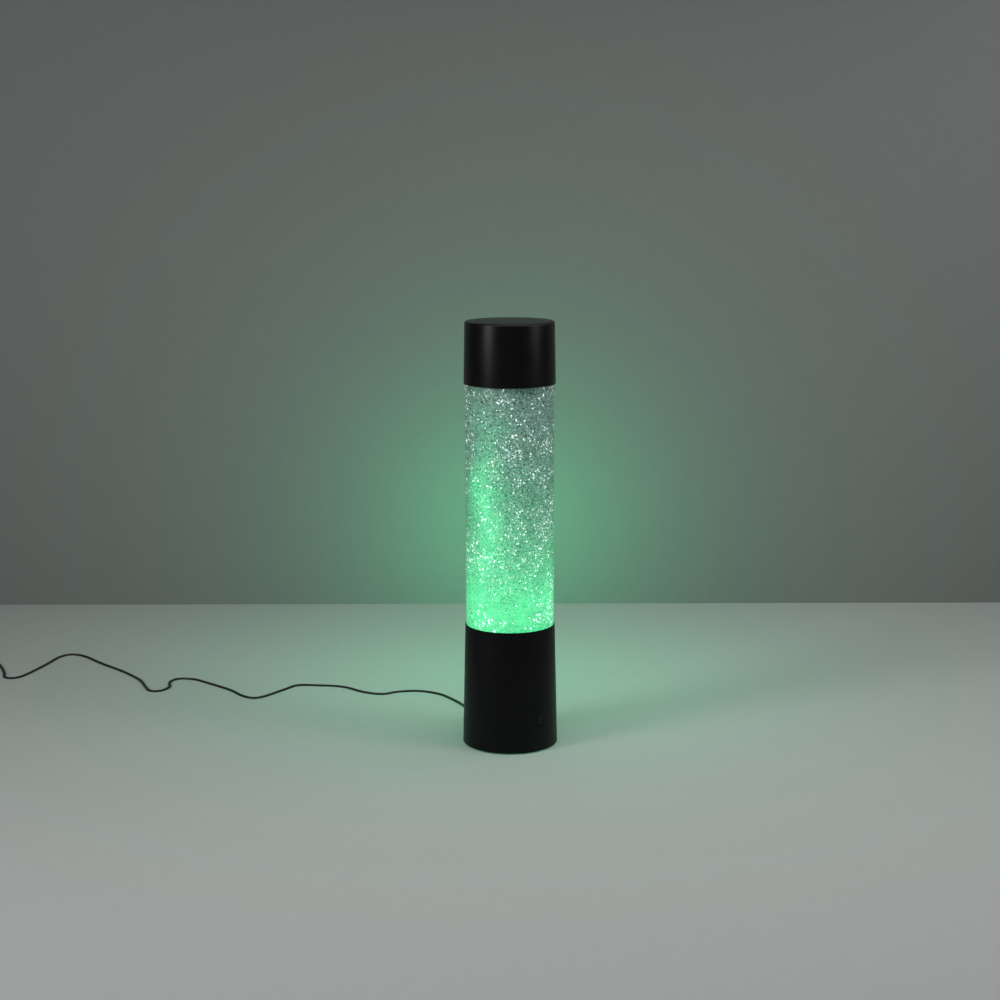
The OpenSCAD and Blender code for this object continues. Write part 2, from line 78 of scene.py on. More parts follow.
# Sizes that the CAD part has and its boxes don't show
BASE_TOP_R = 38.1 * MM
LEDGE_Z = 93 * MM           # the tube's gasket lies on this ledge in the base
LEDGE_R = 33.2 * MM
LEDGE_T = 2.5 * MM
BOSS_CIRCLE = 31 * MM       # the screws of the base plate
HANGER_CIRCLE = 33.6 * MM   # the screws of the motor plate
FOOT_CIRCLE = 29 * MM
FOOT_R = 5.5 * MM
BUTTON_Z = 28 * MM
BUTTON_PROUD = 0.4 * MM
FLANGE_BACK = 35.3 * MM     # from the axis to the back of the button's flange
FLANGE_R = 6.8 * MM
BUTTON_PLAY = 0.3 * MM
GLAND_Z = 9 * MM
GLAND_END = 56 * MM
GRIP_LONG = 26 * MM         # the plug's grip
PLUG_MOUTH = Vector((12, 7, 4.5)) * MM  # cut into the grip for the plug's metal shell

PAINTED_GLINT_TONE = 0.84                # flakes whose tone is above this are painted glints: they glow white
CRISP = math.radians(32)    # edges that turn more than this stay sharp
TURN = 2 * math.pi
UP = Vector((0, 0, 1))


def linear(hex_colour):
    """The linear colour of an sRGB hex value."""
    parts = [int(hex_colour[i:i + 2], 16) / 255 for i in (1, 3, 5)]
    return tuple(p / 12.92 if p <= 0.04045 else ((p + 0.055) / 1.055) ** 2.4 for p in parts)


def around(radius, angle, z=0.0):
    """The place at a radius and an angle round the Z axis."""
    return Vector((radius * math.cos(angle), radius * math.sin(angle), z))


def size(name, description, default):
    """A length that a user may change."""
    return bpy.props.FloatProperty(
        name=name, description=description, default=default, unit="LENGTH", precision=5)


def colour(name, description, hex_colour):
    """A colour that a user may change."""
    return bpy.props.FloatVectorProperty(
        name=name, description=description, default=linear(hex_colour), subtype="COLOR",
        min=0, max=1,
    )


class LampSizes(bpy.types.PropertyGroup):
    """Sizes of the lamp's own pieces."""

    segments: bpy.props.IntProperty(
        name="Segments", description="Faces round each turned piece", default=192, min=48)
    tube_wall: size("Tube wall", "Wall thickness of the clear tube", 3 * MM)
    base_wall: size("Base wall", "Wall thickness of the base shell", 2.2 * MM)
    cap_edge: size("Cap edge", "Rounding of the cap's top edge", 2 * MM)
    button_d: size("Button", "Diameter of the push button", 11.2 * MM)
    cloud_gap: size("Clear margin", "Liquid between the tube and the dense glitter", 2.6 * MM)
    flake_r: size("Flake radius", "Radius of an average glitter flake", 0.5 * MM)
    flakes: bpy.props.IntProperty(
        name="Flakes", description="Glitter flakes near the tube's wall", default=12000, min=0)
    grain: size("Glitter grain", "Width of the flakes further in, drawn coarse enough to show",
                0.8 * MM)


class LampColours(bpy.types.PropertyGroup):
    """Colours of the lamp's finishes and of its light."""

    black_abs: colour("Black ABS", "Moulded base, cap and button", "#0c0c0d")
    dark_abs: colour("Dark ABS", "Base plate, lid and clamp", "#1f2022")
    white_abs: colour("White ABS", "Motor plate, rotor and reflector", "#e6e4de")
    rubber: colour("Rubber", "Feet, seals and gland", "#232324")
    jacket: colour("Cord jacket", "Extruded black PVC", "#0f0f10")
    solder_mask: colour("Solder mask", "Control board", "#1e5a39")
    glow: colour("Light", "The green light in the liquid", "#36ff9a")
    spill: colour("Spilt light", "The lamp's light on the floor and the wall", "#5cffb0")
    glow_level: bpy.props.FloatProperty(
        name="Light level", description="Brightness of the lit liquid", default=1.0, min=0)


class CordSizes(bpy.types.PropertyGroup):
    """Sizes of the supply cord."""

    width: size("Width", "Width of the flat twin lead", 2.9 * MM)
    thickness: size("Thickness", "Thickness of the flat twin lead", 1.6 * MM)
    length: size("Length", "Length from the gland to the plug", 1.42)


class StageSizes(bpy.types.PropertyGroup):
    """The camera's place and the studio's lights."""

    bearing: bpy.props.FloatProperty(
        name="Camera bearing", description="Turn of the view from +Y towards +X",
        default=math.radians(41.25), subtype="ANGLE")
    pitch: bpy.props.FloatProperty(
        name="Camera pitch", description="How far the camera looks down",
        default=math.radians(10.427), subtype="ANGLE")
    roll: bpy.props.FloatProperty(
        name="Camera roll", description="Turn about the line of sight",
        default=math.radians(-0.134), subtype="ANGLE")
    distance: size("Camera distance", "From the lamp's axis, along the floor", 1.5355)
    height: size("Camera height", "Above the floor", 0.4936)
    aside: size("Camera shift", "To the left of the lamp's axis", 8.3 * MM)
    lens: bpy.props.FloatProperty(
        name="Lens", description="Focal length in millimetres", default=66.668)
    wall_distance: size("Wall", "From the lamp's axis to the wall behind it", 0.5)
    floor: colour("Floor", "Pale painted floor", "#cacaca")
    wall: colour("Wall", "Grey painted wall", "#8a8a8a")


def settings():
    """The four groups of settings."""
    scene = bpy.context.scene
    return scene.lamp_sizes, scene.lamp_colours, scene.cord_sizes, scene.stage_sizes


# ---------------------------------------------------------------- meshes


def link(name, mesh, material=None):
    """An object that shows a mesh."""
    made = bpy.data.objects.new(name, mesh)
    bpy.context.scene.collection.objects.link(made)
    if material:
        mesh.materials.clear()
        mesh.materials.append(material)
    return made


def shade(mesh, crisp=CRISP):
    """Shades a mesh smooth, with its sharp edges kept."""
    mesh.shade_smooth()
    mesh.set_sharp_from_angle(angle=crisp)
    return mesh


def mesh_of(bm, name):
    """A mesh with smooth faces and sharp corners, made from a bmesh."""
    mesh = bpy.data.meshes.new(name)
    bm.to_mesh(mesh)
    bm.free()
    return shade(mesh)


def rounded(corners, steps=6):
    """A closed outline through [r, z, radius] corners, each rounded to its radius."""
    outline = []
    for i, (r, z, radius) in enumerate(corners):
        corner = Vector((r, z))
        if not radius:
            outline.append(corner)
            continue
        before = (Vector(corners[i - 1][:2]) - corner).normalized()
        after = (Vector(corners[(i + 1) % len(corners)][:2]) - corner).normalized()
        half = before.angle(after) / 2
        centre = corner + (before + after).normalized() * radius / math.sin(half)
        start = corner + before * radius / math.tan(half) - centre
        end = corner + after * radius / math.tan(half) - centre
        sweep = math.pi - 2 * half
        for k in range(steps + 1):
            t = k / steps
            outline.append(centre + (start * math.sin((1 - t) * sweep)
                                     + end * math.sin(t * sweep)) / math.sin(sweep))
    return outline


def turned(name, outline, segments, material=None, place=Matrix.Identity(4)):
    """An object made by turning a closed outline of [r, z] points about its Z axis."""
    bm = bmesh.new()
    rings = []
    for r, z in outline:
        count = segments if r > 1e-7 else 1
        rings.append([
            bm.verts.new(around(r, TURN * k / segments, z)) for k in range(count)
        ])
    for low, high in zip(rings, rings[1:] + rings[:1]):
        if len(low) == len(high) == 1:
            continue
        for k in range(segments):
            face = [low[k % len(low)], low[(k + 1) % len(low)],
                    high[(k + 1) % len(high)], high[k % len(high)]]
            bm.faces.new(dict.fromkeys(face))
    bmesh.ops.transform(bm, matrix=place, verts=bm.verts)
    bmesh.ops.recalc_face_normals(bm, faces=bm.faces)
    return link(name, mesh_of(bm, name), material)


def add_rod(bm, low_r, high_r, start, end, segments=64):
    """Adds a closed round rod from start to end."""
    start, end = Vector(start), Vector(end)
    place = Matrix.Translation((start + end) / 2) @ (
        (end - start).to_track_quat("Z", "Y").to_matrix().to_4x4())
    bmesh.ops.create_cone(bm, cap_ends=True, segments=segments, radius1=low_r, radius2=high_r,
                          depth=(end - start).length, matrix=place)


def add_block(bm, low, high, turn=0.0):
    """Adds a closed block between two corners, turned about the Z axis."""
    low, high = Vector(low), Vector(high)
    place = (Matrix.Rotation(turn, 4, "Z") @ Matrix.Translation((low + high) / 2)
             @ Matrix.Diagonal((*(high - low), 1)))
    bmesh.ops.create_cube(bm, size=1, matrix=place)


def evaluated(made):
    """The object's mesh with its modifiers worked out."""
    bpy.context.view_layer.update()
    depsgraph = bpy.context.evaluated_depsgraph_get()
    return bpy.data.meshes.new_from_object(made.evaluated_get(depsgraph))


def combine(made, bm, operation):
    """Joins a closed bmesh to the object, or cuts it away."""
    tool = link("tool", mesh_of(bm, "tool"))
    boolean = made.modifiers.new("combine", "BOOLEAN")
    boolean.object = tool
    boolean.operation = operation
    boolean.solver = "EXACT"
    boolean.use_self = operation == "UNION"
    mesh = evaluated(made)
    made.modifiers.clear()
    made.data = mesh
    bpy.data.objects.remove(tool)
    shade(made.data)
    return made


def stand_for(made, body, slot, *nodes):
    """The piece rides on a body and stands for CAD nodes, which it hides. slot is not used."""
    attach(made, body)
    if nodes:
        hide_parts(*nodes)
    return made


# ---------------------------------------------------------------- nodes


def add(tree, kind, inputs=(), **values):
    """Adds one node with its settings, and links or sets its inputs."""
    made = tree.nodes.new(kind)
    for name, value in values.items():
        setattr(made, name, value)
    for name, value in dict(inputs).items():
        if isinstance(value, bpy.types.NodeSocket):
            tree.links.new(value, made.inputs[name])
        else:
            made.inputs[name].default_value = value
    return made


def maths(tree, operation, *values, clamp=False):
    """The result of one sum on numbers or sockets."""
    return add(tree, "ShaderNodeMath", enumerate(values), operation=operation,
               use_clamp=clamp).outputs[0]


def vector(tree, operation, *values):
    """The result of one sum on vectors or sockets."""
    made = add(tree, "ShaderNodeVectorMath", enumerate(values), operation=operation)
    return made.outputs["Value" if operation == "DOT_PRODUCT" else "Vector"]


def ramp(tree, factor, stops):
    """A colour for each value of factor. stops are (position, linear colour) pairs."""
    made = add(tree, "ShaderNodeValToRGB", {"Fac": factor})
    elements = made.color_ramp.elements
    while len(elements) < len(stops):
        elements.new(1)
    for element, (position, value) in zip(elements, stops):
        element.position = position
        element.color = (*value, 1)
    return made.outputs["Color"]


def grey_ramp(tree, factor, stops):
    """A number for each value of factor. stops are (position, number) pairs."""
    return ramp(tree, factor, [(position, (value,) * 3) for position, value in stops])


def grow(name, tree, inputs, made=None):
    """The mesh that a Geometry Nodes tree makes, from an object or from nothing.

    inputs are by the names of the tree's sockets. The object is used up.
    """
    made = made or link(name, bpy.data.meshes.new(name))
    modifier = made.modifiers.new(name, "NODES")
    modifier.node_group = tree
    for item in tree.interface.items_tree:
        if item.in_out == "INPUT" and item.name in inputs:
            modifier[item.identifier] = inputs[item.name]
    grown = evaluated(made)
    bpy.data.objects.remove(made)
    return grown


def tree_with(name, sockets):
    """An empty Geometry Nodes tree with named inputs, its input node and its output node."""
    tree = bpy.data.node_groups.new(name, "GeometryNodeTree")
    tree.interface.new_socket("Geometry", in_out="INPUT", socket_type="NodeSocketGeometry")
    for socket, kind in sockets.items():
        tree.interface.new_socket(socket, in_out="INPUT", socket_type="NodeSocket" + kind)
    tree.interface.new_socket("Geometry", in_out="OUTPUT", socket_type="NodeSocketGeometry")
    return tree, tree.nodes.new("NodeGroupInput").outputs, tree.nodes.new("NodeGroupOutput")


def end_tree(tree, output, geometry, material):
    """Ends a Geometry Nodes tree: its instances are realized and get their material."""
    real = add(tree, "GeometryNodeRealizeInstances", {0: geometry})
    finished = add(tree, "GeometryNodeSetMaterial",
                   {"Geometry": real.outputs[0], "Material": material})
    tree.links.new(finished.outputs[0], output.inputs[0])
    return tree


# ---------------------------------------------------------------- finishes


def new_material(name):
    """An empty node material, its tree and its Object coordinates."""
    material = bpy.data.materials.new(name)
    material.use_nodes = True
    tree = material.node_tree
    tree.nodes.clear()
    return material, tree, add(tree, "ShaderNodeTexCoord").outputs["Object"]


def shaded(material, shader):
    """The material, with a shader node on its output."""
    add(material.node_tree, "ShaderNodeOutputMaterial", {"Surface": shader.outputs[0]})
    return material


def noise(tree, place, width, detail=2.0, stretch=(1, 1, 1)):
    """Soft noise whose lumps are about width across, stretched along some axes."""
    scaled = vector(tree, "MULTIPLY", place, [1 / (width * s) for s in stretch])
    return add(tree, "ShaderNodeTexNoise", {"Vector": scaled, "Scale": 1.0, "Detail": detail})


def surface(name, tone, roughness, grain, relief, stretch=(1, 1, 1), shade=0.25, spread=0.08,
            **fixed):
    """A finish with a fine relief, uneven roughness and a slightly mottled tone.

    grain is the relief's width and relief its depth, both in metres. fixed are values set on
    the shader's own sockets.
    """
    material, tree, place = new_material(name)
    fine = noise(tree, place, grain, 3.0, stretch).outputs["Fac"]
    broad = noise(tree, place, 14 * MM).outputs["Fac"]
    dark = tuple(c * (1 - shade) for c in tone)
    light = tuple(min(1, c * (1 + shade)) for c in tone)
    mottled = maths(tree, "MULTIPLY", maths(tree, "ADD", fine, broad), 0.5)
    rough = maths(tree, "MULTIPLY_ADD", mottled, 2 * spread, roughness - spread)
    bump = add(tree, "ShaderNodeBump", {"Height": fine, "Distance": relief, "Strength": 1.0})
    shader = add(tree, "ShaderNodeBsdfPrincipled", {
        "Base Color": ramp(tree, mottled, [(0.3, dark), (0.7, light)]),
        "Roughness": rough,
        "Normal": bump.outputs[0],
        **fixed,
    })
    return shaded(material, shader)


def moulded_abs(name, tone, roughness, level=0.4):
    """ABS from a spark-eroded mould: a fine even matt grain under a soft sheen.

    level is lower where the mould's deep grain swallows most of the reflection.
    """
    return surface(name, tone, roughness, 0.35 * MM, 0.006 * MM,
                   **{"IOR": 1.5, "Specular IOR Level": level})


def circuit_board(name, tone):
    """Glass-fibre board under solder mask: raised tracks show through as paler lines."""
    material, tree, place = new_material(name)
    cells = add(tree, "ShaderNodeTexVoronoi", {"Vector": place, "Scale": 1 / (3.2 * MM)},
                feature="DISTANCE_TO_EDGE")
    track = maths(tree, "LESS_THAN", cells.outputs["Distance"], 0.07)
    weave = noise(tree, place, 0.6 * MM, 1.0).outputs["Fac"]
    pale = tuple(min(1, c * 1.7 + 0.01) for c in tone)
    height = maths(tree, "MULTIPLY_ADD", track, 0.5, maths(tree, "MULTIPLY", weave, 0.3))
    bump = add(tree, "ShaderNodeBump", {"Height": height, "Distance": 0.05 * MM})
    shader = add(tree, "ShaderNodeBsdfPrincipled", {
        "Base Color": ramp(tree, height, [(0.1, tone), (0.7, pale)]),
        "Roughness": maths(tree, "MULTIPLY_ADD", weave, 0.15, 0.3),
        "Normal": bump.outputs[0],
        "IOR": 1.55,
    })
    return shaded(material, shader)


def clear_finish(name, tone, ior, roughness, ripple_width, ripple):
    """A clear solid or liquid that lets the lights through, with the faintest ripple."""
    material, tree, place = new_material(name)
    waves = noise(tree, place, ripple_width, 1.0, (1, 1, 4)).outputs["Fac"]
    bump = add(tree, "ShaderNodeBump", {"Height": waves, "Distance": ripple})
    clear = add(tree, "ShaderNodeBsdfPrincipled", {
        "Base Color": (*tone, 1), "Roughness": roughness, "IOR": ior,
        "Transmission Weight": 1.0, "Normal": bump.outputs[0],
    })
    rays = add(tree, "ShaderNodeLightPath").outputs
    through = maths(tree, "MAXIMUM", rays["Is Shadow Ray"], rays["Is Diffuse Ray"])
    open_side = add(tree, "ShaderNodeBsdfTransparent", {"Color": (*tone, 1)})
    mixed = add(tree, "ShaderNodeMixShader",
                {0: through, 1: clear.outputs[0], 2: open_side.outputs[0]})
    return shaded(material, mixed)


def lit_level(tree, place, level):
    """How strongly the liquid glows at a place: most at the bottom, with rising swirls."""
    drift = noise(tree, place, 40 * MM).outputs["Color"]
    shifted = vector(tree, "SUBTRACT", drift, (0.5, 0.5, 0.5))
    warped = vector(tree, "MULTIPLY_ADD", shifted, (30 * MM,) * 3, place)
    height = add(tree, "ShaderNodeSeparateXYZ", {0: warped}).outputs["Z"]
    # the light falls off with height from full_to upwards, to a share 1/e of it each fade
    full_to = 134 * MM
    fade = 62 * MM
    rise = maths(tree, "MULTIPLY_ADD", height, -1 / fade, full_to / fade)
    low = maths(tree, "MINIMUM", maths(tree, "EXPONENT", rise), 1.12)
    total = maths(tree, "MULTIPLY", low, 0.69)
    # each swirl has a bearing round the tube, a height, a width and a strength
    swirl_circle = 31 * MM
    for bearing, middle, tall, wide, strength in (
        (-168, 210 * MM, 58 * MM, 18 * MM, 0.46),
        (20, 190 * MM, 45 * MM, 18 * MM, 0.35),
        (95, 235 * MM, 40 * MM, 14 * MM, 0.28),
    ):
        spot = around(swirl_circle, math.radians(bearing), middle)
        offset = vector(tree, "SUBTRACT", warped, spot)
        scaled = vector(tree, "MULTIPLY", offset, (1 / wide, 1 / wide, 1 / tall))
        reach = vector(tree, "DOT_PRODUCT", scaled, scaled)
        swirl = maths(tree, "EXPONENT", maths(tree, "MULTIPLY", reach, -1.0))
        total = maths(tree, "MULTIPLY_ADD", swirl, strength, total)
    streaks = noise(tree, warped, 7 * MM, 3.0, (1, 1, 2.2)).outputs["Fac"]
    uneven = maths(tree, "MULTIPLY_ADD", streaks, 0.7, 0.65)
    return maths(tree, "MULTIPLY", total, maths(tree, "MULTIPLY", uneven, level))


def glow_of(tree, level, tone, shares, scattered):
    """How strongly flakes of each tone glow. shares are (tone, share of the level) pairs.

    Where the light is strong it scatters between the flakes, and the dark ones fade away.
    """
    haze = maths(tree, "MULTIPLY", level, 1.1, clamp=True)
    share = grey_ramp(tree, tone, shares)
    evened = add(tree, "ShaderNodeMix", {0: haze, 2: share, 3: scattered}).outputs[0]
    return maths(tree, "MULTIPLY", level, evened)


def glitter_cloud_finish(colours, grain):
    """Dense suspended glitter: each flake is a cell with its own tone, lit from below."""
    material, tree, place = new_material("suspended_glitter")
    cells = add(tree, "ShaderNodeTexVoronoi", {"Vector": place, "Scale": 1 / grain})
    tone = add(tree, "ShaderNodeSeparateColor", {0: cells.outputs["Color"]}).outputs[0]
    level = lit_level(tree, place, colours.glow_level)
    shares = [(0.0, 0.1), (0.12, 0.25), (0.2, 0.75), (1.0, 1.25)]
    shader = add(tree, "ShaderNodeBsdfPrincipled", {
        "Base Color": ramp(tree, tone, [
            (0.0, linear("#0a0f12")), (0.16, linear("#8390a0")), (0.8, linear("#bcc6d4")),
            (0.96, linear("#f6fbf9")),
        ]),
        "Roughness": 0.6,
        "Emission Color": (*colours.glow, 1),
        "Emission Strength": glow_of(tree, level, tone, shares, 1.0),
    })
    return shaded(material, shader)


def flake_finish(colours):
    """Cut metallised film: dark, green-lit and painted-glint flakes, by each flake's own tone.
    """
    material, tree, place = new_material("metallised_film_flakes")
    tone = add(tree, "ShaderNodeAttribute", attribute_name="tone").outputs["Fac"]
    tint = add(tree, "ShaderNodeAttribute", attribute_name="tint").outputs["Fac"]
    level = lit_level(tree, place, colours.glow_level)
    painted_glint = maths(tree, "GREATER_THAN", tone, PAINTED_GLINT_TONE)
    shares = [(0.0, 0.05), (0.2, 0.3), (0.35, 0.9), (0.88, 1.2), (1.0, 1.3)]
    # a few of the painted glints are warm, as the film's gold side shows
    white = ramp(tree, tint, [(0.0, linear("#ffd9b4")), (0.05, linear("#ffe9d4")),
                              (0.08, linear("#ffffff")), (1.0, linear("#eefff8"))])
    light = add(tree, "ShaderNodeMix", {0: painted_glint, 6: (*colours.glow, 1), 7: white},
                data_type="RGBA").outputs[2]
    # painted glints: flakes above the glint tone glow white, less where the liquid's light is
    # strong
    painted_glint_strength = maths(tree, "MULTIPLY_ADD", level, -0.4, 0.95)
    shader = add(tree, "ShaderNodeBsdfPrincipled", {
        "Base Color": ramp(tree, tone, [
            (0.0, linear("#10201c")), (0.2, linear("#26312e")), (0.35, linear("#9aa9b0")),
            (PAINTED_GLINT_TONE, linear("#f4f6f4")),
        ]),
        "Roughness": 0.35,
        "Metallic": 0.3,
        "Emission Color": light,
        "Emission Strength": maths(tree, "MULTIPLY_ADD", painted_glint, painted_glint_strength,
                                   glow_of(tree, level, tone, shares, 1.05)),
    })
    material.cycles.emission_sampling = "NONE"
    return shaded(material, shader)


def cad_finishes(colours):
    """The finish of each material slot that CAD nodes keep."""
    steel = {"Metallic": 1.0}
    return {
        "inner_plastic": moulded_abs("moulded_dark_abs", colours.dark_abs, 0.5),
        "white_plastic": moulded_abs("moulded_white_abs", colours.white_abs, 0.45),
        # cast acrylic disc: clear and glossy, with the faint ripple of its mould
        "clear_acrylic": clear_finish("cast_acrylic", linear("#f4fbf7"), 1.49, 0.02, 20 * MM,
                                      0.01 * MM),
        # moulded rubber: matt, with a dusty bloom
        "rubber": surface("moulded_rubber", colours.rubber, 0.75, 0.5 * MM, 0.02 * MM,
                          spread=0.1, **{"IOR": 1.52}),
        # zinc-plated steel: dull blue-grey with fine plating grain
        "screw_steel": surface("zinc_plated_steel", linear("#b3b7bb"), 0.36, 0.3 * MM,
                               0.006 * MM, **steel),
        # drawn and polished steel: streaks along its length
        "bright_steel": surface("drawn_steel", linear("#c6c8ca"), 0.22, 0.25 * MM, 0.003 * MM,
                                stretch=(1, 1, 12), **steel),
        # nickel-plated magnet: bright, faintly yellow
        "magnet": surface("nickel_plated_magnet", linear("#c9c4b8"), 0.2, 0.8 * MM,
                          0.004 * MM, **steel),
        "circuit_board": circuit_board("solder_masked_board", colours.solder_mask),
        # filled epoxy: dull black with a fine grain
        "electronics": surface("filled_epoxy", linear("#2b2b2d"), 0.55, 0.2 * MM, 0.01 * MM,
                               **{"IOR": 1.55}),
        # phosphor-filled silicone over lit dies
        "light_emitter": surface("lit_led_package", linear("#e8f3c8"), 0.4, 0.4 * MM,
                                 0.01 * MM, **{"Emission Color": (*colours.glow, 1),
                                               "Emission Strength": 4.0}),
        # extruded PVC insulation: soft shine, faint draw lines
        "wire_insulation": surface("extruded_red_pvc", linear("#a3302a"), 0.38, 0.4 * MM,
                                   0.008 * MM, **{"IOR": 1.53}),
        "cord_jacket": surface("extruded_black_pvc", colours.jacket, 0.36, 0.5 * MM,
                               0.008 * MM, **{"IOR": 1.53}),
        # moulded nylon strap: slightly waxy
        "tie_plastic": surface("moulded_nylon", linear("#202022"), 0.42, 0.6 * MM, 0.02 * MM,
                               **{"IOR": 1.53}),
        "plug_plastic": moulded_abs("overmoulded_pvc", colours.black_abs, 0.48),
        # stamped and nickel-plated shell: bright with rolling marks
        "plug_steel": surface("stamped_nickel_plated_steel", linear("#c3c5c8"), 0.24,
                              0.3 * MM, 0.004 * MM, stretch=(1, 10, 1), **steel),
        "plug_insulator": moulded_abs("moulded_white_nylon", linear("#e8e6df"), 0.5),
        # gold flash over copper
        "plug_contact": surface("gold_flashed_copper", linear("#d8ae55"), 0.25, 0.2 * MM,
                                0.003 * MM, **steel),
    }


# ---------------------------------------------------------------- stage


def camera_axes(stage):
    """Level directions of the view: ahead, and to the picture's right."""
    ahead = Vector((math.sin(stage.bearing), math.cos(stage.bearing), 0))
    return ahead, Vector((ahead.y, -ahead.x, 0))


def make_camera(stage):
    """The camera, at the height and distance that give the lamp its outline."""
    ahead, right = camera_axes(stage)
    data = bpy.data.cameras.new("camera")
    data.lens = stage.lens
    data.sensor_width = 36
    data.clip_start, data.clip_end = 0.05, 50
    made = bpy.data.objects.new("camera", data)
    bpy.context.scene.collection.objects.link(made)
    line = ahead * math.cos(stage.pitch) - UP * math.sin(stage.pitch)
    aim = line.to_track_quat("-Z", "Y").to_matrix().to_4x4()
    place = -ahead * stage.distance - right * stage.aside + UP * stage.height
    made.matrix_world = Matrix.Translation(place) @ aim @ Matrix.Rotation(stage.roll, 4, "Z")
    bpy.context.scene.camera = made


def painted(name, tone, grain):
    """Matt painted board: even, with the faint orange peel of a roller."""
    return surface(name, tone, 0.85, grain, 0.02 * MM, shade=0.015, spread=0.03,
                   **{"Specular IOR Level": 0.2})


def one_sided(material):
    """Lets a backdrop be seen, and throw shadows, from its front only."""
    tree = material.node_tree
    output = next(n for n in tree.nodes if n.type == "OUTPUT_MATERIAL")
    front = output.inputs["Surface"].links[0].from_socket
    behind = add(tree, "ShaderNodeNewGeometry").outputs["Backfacing"]
    clear = add(tree, "ShaderNodeBsdfTransparent").outputs[0]
    mixed = add(tree, "ShaderNodeMixShader", {0: behind, 1: front, 2: clear})
    tree.links.new(mixed.outputs[0], output.inputs["Surface"])
    return material


def make_backdrop(stage):
    """The floor and the wall behind the lamp."""
    ahead, right = camera_axes(stage)
    peel = 4 * MM
    bm = bmesh.new()
    bmesh.ops.create_grid(bm, x_segments=8, y_segments=8, size=6)
    floor = link("floor", mesh_of(bm, "floor"), painted("painted_floor", stage.floor, peel))
    bm = bmesh.new()
    corners = [ahead * stage.wall_distance + right * x + UP * z
               for x, z in ((-4, 0), (4, 0), (4, 3.2), (-4, 3.2))]
    bm.faces.new([bm.verts.new(c) for c in corners])
    wall = link("wall", mesh_of(bm, "wall"),
                one_sided(painted("painted_wall", stage.wall, peel)))
    return floor, wall


def add_light(name, kind, place, aim, power, tone=(1, 1, 1), **values):
    """A studio light at a place, aimed at a point."""
    data = bpy.data.lights.new(name, kind)
    data.energy = power
    data.color = tone
    for key, value in values.items():
        setattr(data, key, value)
    made = bpy.data.objects.new(name, data)
    bpy.context.scene.collection.objects.link(made)
    made.matrix_world = Matrix.Translation(place) @ (
        (aim - place).to_track_quat("-Z", "Y").to_matrix().to_4x4())
    made.visible_camera = False
    return made


def make_lights(stage, colours, floor, wall):
    """Softboxes, overhead panels, a faint room light and the lamp's glow around it."""
    ahead, right = camera_axes(stage)
    # each softbox: bearing from the lamp, distance, height of its middle, width, height, power
    for name, bearing, away, middle, wide, tall, power in (
        ("left_softbox", -55, 1.25, 0.8, 0.4, 1.0, 6.0),
        ("right_softbox", 68, 1.25, 0.85, 0.5, 1.0, 3.6),
    ):
        turn = math.radians(bearing)
        place = (right * math.sin(turn) - ahead * math.cos(turn)) * away
        add_light(name, "AREA", place + UP * middle, UP * middle, power,
                  shape="RECTANGLE", size=wide, size_y=tall)
    # each overhead panel: distance behind the lamp, distance to the right of it, power
    for name, along, aside, power in (
        ("top_softbox", -0.42, 0.0, 2.5), ("side_softbox", 0.1, 0.8, 1.4),
    ):
        above = ahead * along + right * aside + UP * 0.8
        add_light(name, "AREA", above, above - UP, power,
                  shape="RECTANGLE", size=1.0, size_y=0.8)
    # the lamp's light: what it falls on, distance behind the lamp, height, power
    for name, receiver, away, z, power in (
        ("lamp_glow_on_wall", wall, 0.33, 0.1, 1.38),
        ("lamp_glow_on_floor", floor, 0.2, 0.27, 1.25),
    ):
        lit = bpy.data.collections.new(name)
        lit.objects.link(receiver)
        glow = add_light(name, "POINT", ahead * away + UP * z, -UP, power, colours.spill,
                         shadow_soft_size=0.05)
        glow.light_linking.receiver_collection = lit
        glow.light_linking.blocker_collection = lit
        glow.visible_glossy = False
    world = bpy.data.worlds.new("studio")
    world.use_nodes = True
    background = world.node_tree.nodes["Background"]
    background.inputs["Color"].default_value = (*linear("#bfc4c4"), 1)
    background.inputs["Strength"].default_value = 0.03
    scene = bpy.context.scene
    scene.world = world
    scene.view_settings.view_transform = "Standard"


# ---------------------------------------------------------------- cord

# The same points as the CAD part's, in metres
CORD_ROUTE = [tuple(v * MM for v in p) for p in (
    (0, 56, 9), (2, 62, 8), (9, 70, 4), (20, 78, 1.6), (29, 89, 1), (35, 104, 0.9),
    (40, 125, 0.9), (42, 148, 0.9), (34, 168, 0.9), (18, 179, 0.9), (2, 183, 0.9),
    (-7, 200, 0.9), (-11, 227, 0.9), (-26, 247, 0.9), (-40, 260, 0.9), (-56, 257, 0.9),
    (-90, 250, 0.9), (-99, 262, 0.9), (-97, 290, 0.9), (-100, 325, 0.9), (-103, 344, 0.9),
    (-113, 355, 0.9), (-125, 351, 0.9), (-135, 336, 0.9), (-148, 331, 0.9), (-155, 338, 0.9),
    (-151, 353, 0.9), (-143, 378, 0.9), (-140, 415, 0.9), (-141, 455, 0.9), (-140, 488, 0.9),
    (-146, 504, 0.9), (-160, 504, 0.9), (-183, 488, 0.9), (-211, 470, 0.9), (-228, 463, 0.9),
    (-236, 471, 0.9), (-228, 490, 0.9), (-219, 518, 0.9), (-213, 550, 0.9),
)]
TAIL_ROUTE = [tuple(v * MM for v in p) for p in (
    (-247.8, 550, 4.2), (-249, 540, 4.2), (-253, 530, 4), (-256, 520, 4),
)]
COIL_PLACE = Vector((-230.4, 550, 0)) * MM
# turns wound so far, radius and height of the cord's middle
COIL_TURNS = [
    (0.0, 17.4, 0.9), (0.72, 17.4, 0.9), (0.88, 14.4, 0.9), (1.67, 14.4, 0.9),
    (1.83, 14.4, 2.6), (2.62, 14.4, 2.6), (2.78, 17.4, 2.6), (3.57, 17.4, 2.6),
    (3.73, 14.4, 4.3), (4.47, 14.4, 4.3), (4.63, 17.4, 4.3), (5.5, 17.4, 4.2),
]
PLUG_PLACE = Vector((-256, 520, 4)) * MM


